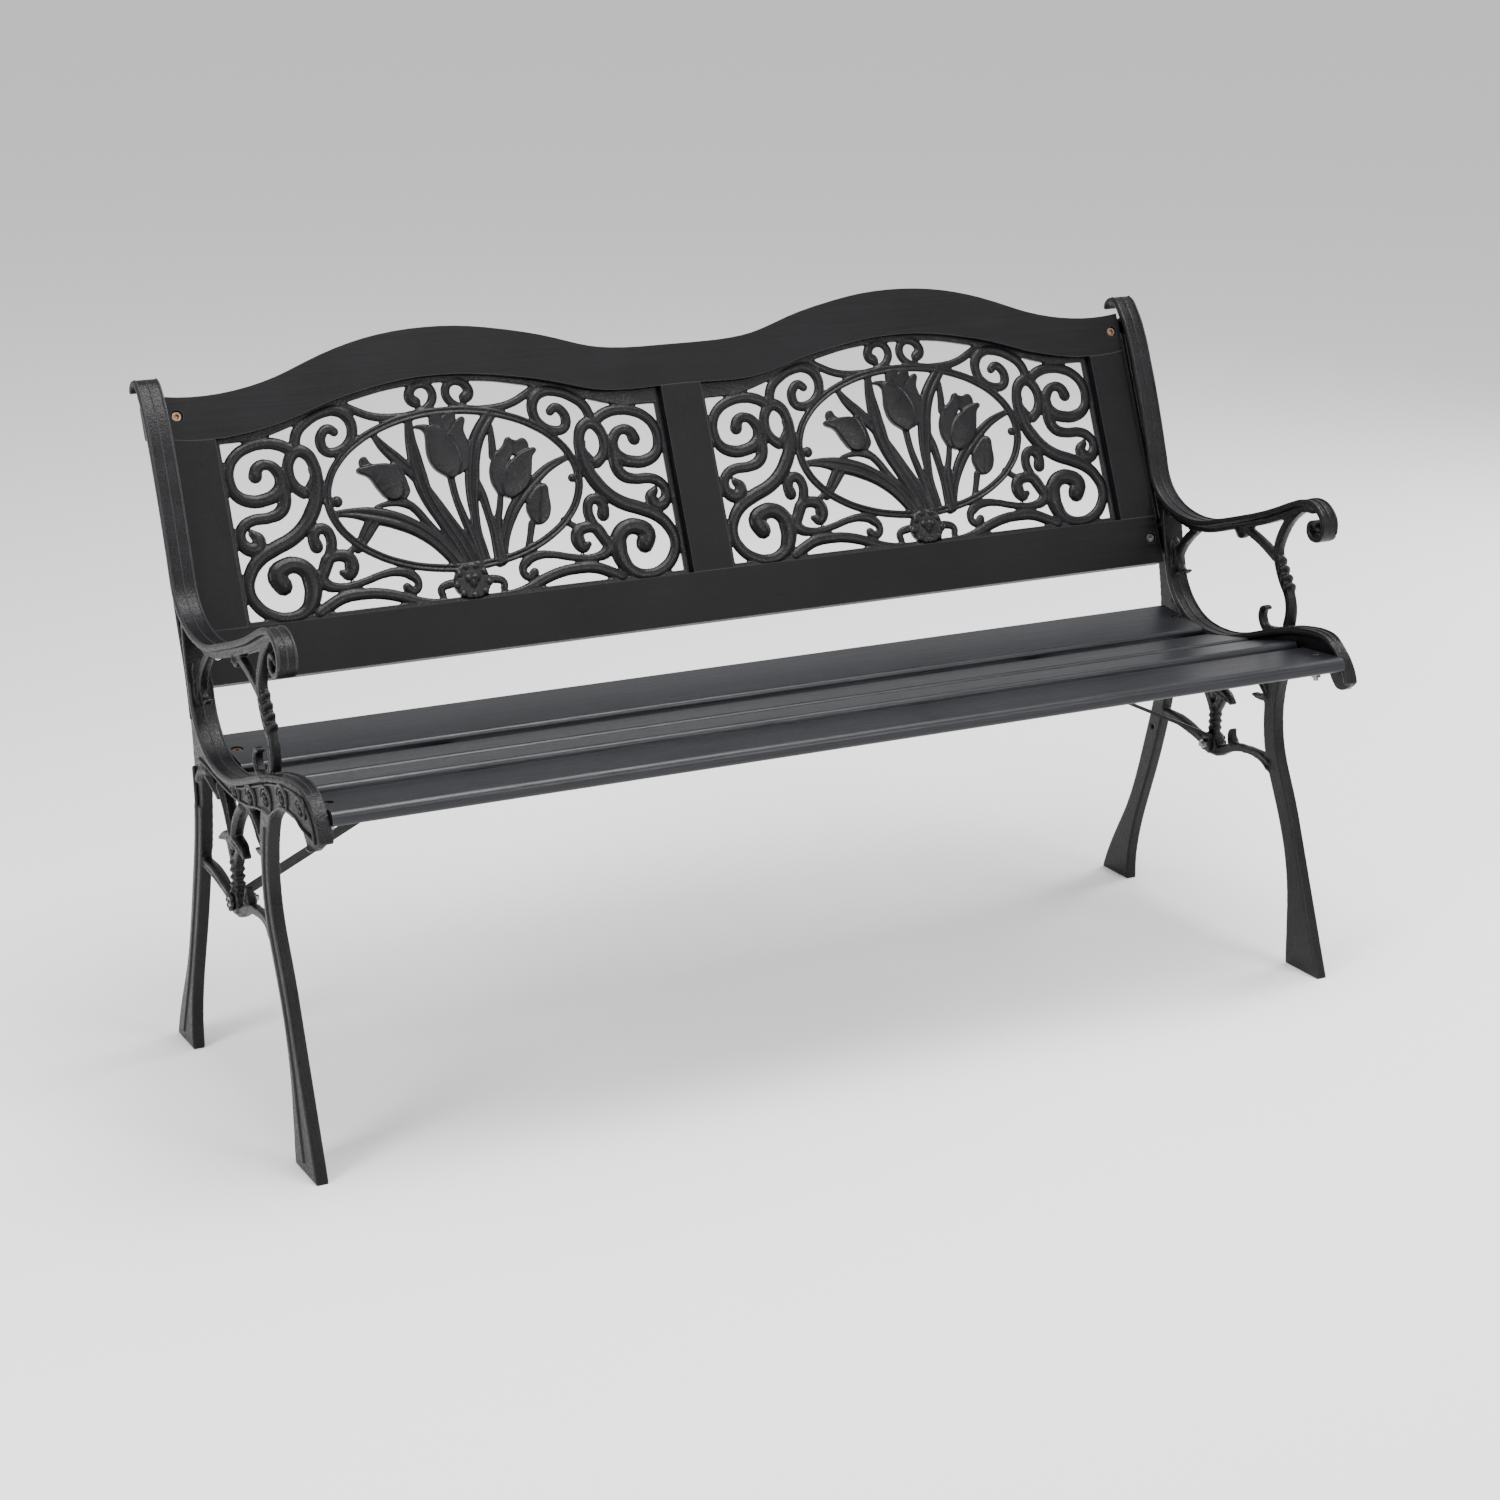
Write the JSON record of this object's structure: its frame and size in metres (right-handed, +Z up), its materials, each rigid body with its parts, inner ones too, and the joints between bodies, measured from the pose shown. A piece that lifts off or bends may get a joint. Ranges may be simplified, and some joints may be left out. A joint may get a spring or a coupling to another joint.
{
  "type": "garden bench",
  "caption": "Black garden bench with scrolled cast end frames, a shaped timber back holding openwork flower panels, and a slatted seat.",
  "frame": {"origin": "on the ground, in the middle of the bench's outer box", "axes": "+X along the bench, to the right as seen from the front, -Y towards the front of the seat, +Z up"},
  "size_m": [1.25, 0.521, 0.7604],
  "materials": {
    "cast_frame": "black powder coat, satin, fine speckle",
    "cast_panel": "matte black paint",
    "painted_wood": "black paint, semi-gloss, faint grain",
    "painted_steel": "black paint, satin",
    "fastener_steel": "plated, satin"
  },
  "bodies": {
    "root": {"right_end_frame": "cast_frame", "left_end_frame": "cast_frame", "back_top_rail": "painted_wood", "back_bottom_rail": "painted_wood", "back_stile_left": "painted_wood", "back_stile_centre": "painted_wood", "back_stile_right": "painted_wood", "panel_left": "cast_panel", "panel_right": "cast_panel", "seat_slat_rear": "painted_wood", "seat_slat_middle_rear": "painted_wood", "seat_slat_middle_front": "painted_wood", "seat_slat_front": "painted_wood", "seat_strap_right": "painted_steel", "seat_strap_left": "painted_steel", "brace_right": "painted_steel", "brace_left": "painted_steel", "slat_bolts": "fastener_steel", "slat_washers": "fastener_steel", "slat_nuts": "fastener_steel", "back_bolts": "fastener_steel", "back_washers": "fastener_steel", "back_nuts": "fastener_steel", "brace_bolts": "fastener_steel", "brace_nuts": "fastener_steel", "strap_rivets": "fastener_steel", "strap_screws": "fastener_steel", "ledge_screws": "fastener_steel"}
  },
  "joints": []
}
